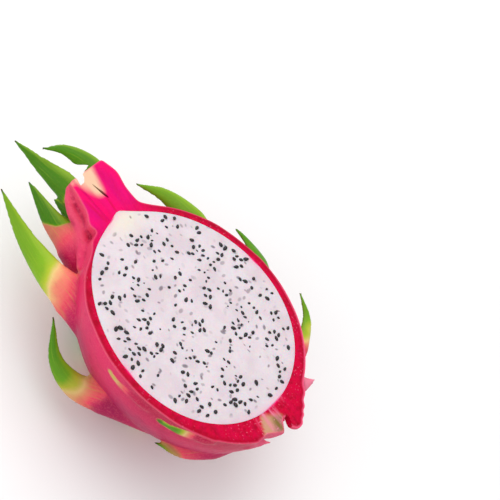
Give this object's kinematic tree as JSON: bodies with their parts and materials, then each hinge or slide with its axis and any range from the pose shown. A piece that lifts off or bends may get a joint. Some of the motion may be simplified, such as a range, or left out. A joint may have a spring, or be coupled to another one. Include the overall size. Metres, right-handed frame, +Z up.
{
  "type": "halved dragon fruit",
  "caption": "Dragon fruit cut lengthwise: a seeded white half in its leafy pink rind, lying on its rounded back with the cut face up.",
  "frame": {"origin": "middle of the small flat spot on the rounded back that the half rests on, straight under the fruit's weight", "axes": "+Z up, square to the cut face; +X along the fruit from the flower end to the stem end"},
  "size_m": [0.1704, 0.1055, 0.054],
  "materials": {
    "rind": "satin waxy skin, magenta pink, with bracts that turn cream and green towards their tips",
    "flesh": "moist translucent white flesh with small black seeds"
  },
  "bodies": {
    "root": {"rind": "rind", "flesh": "flesh"}
  },
  "joints": []
}
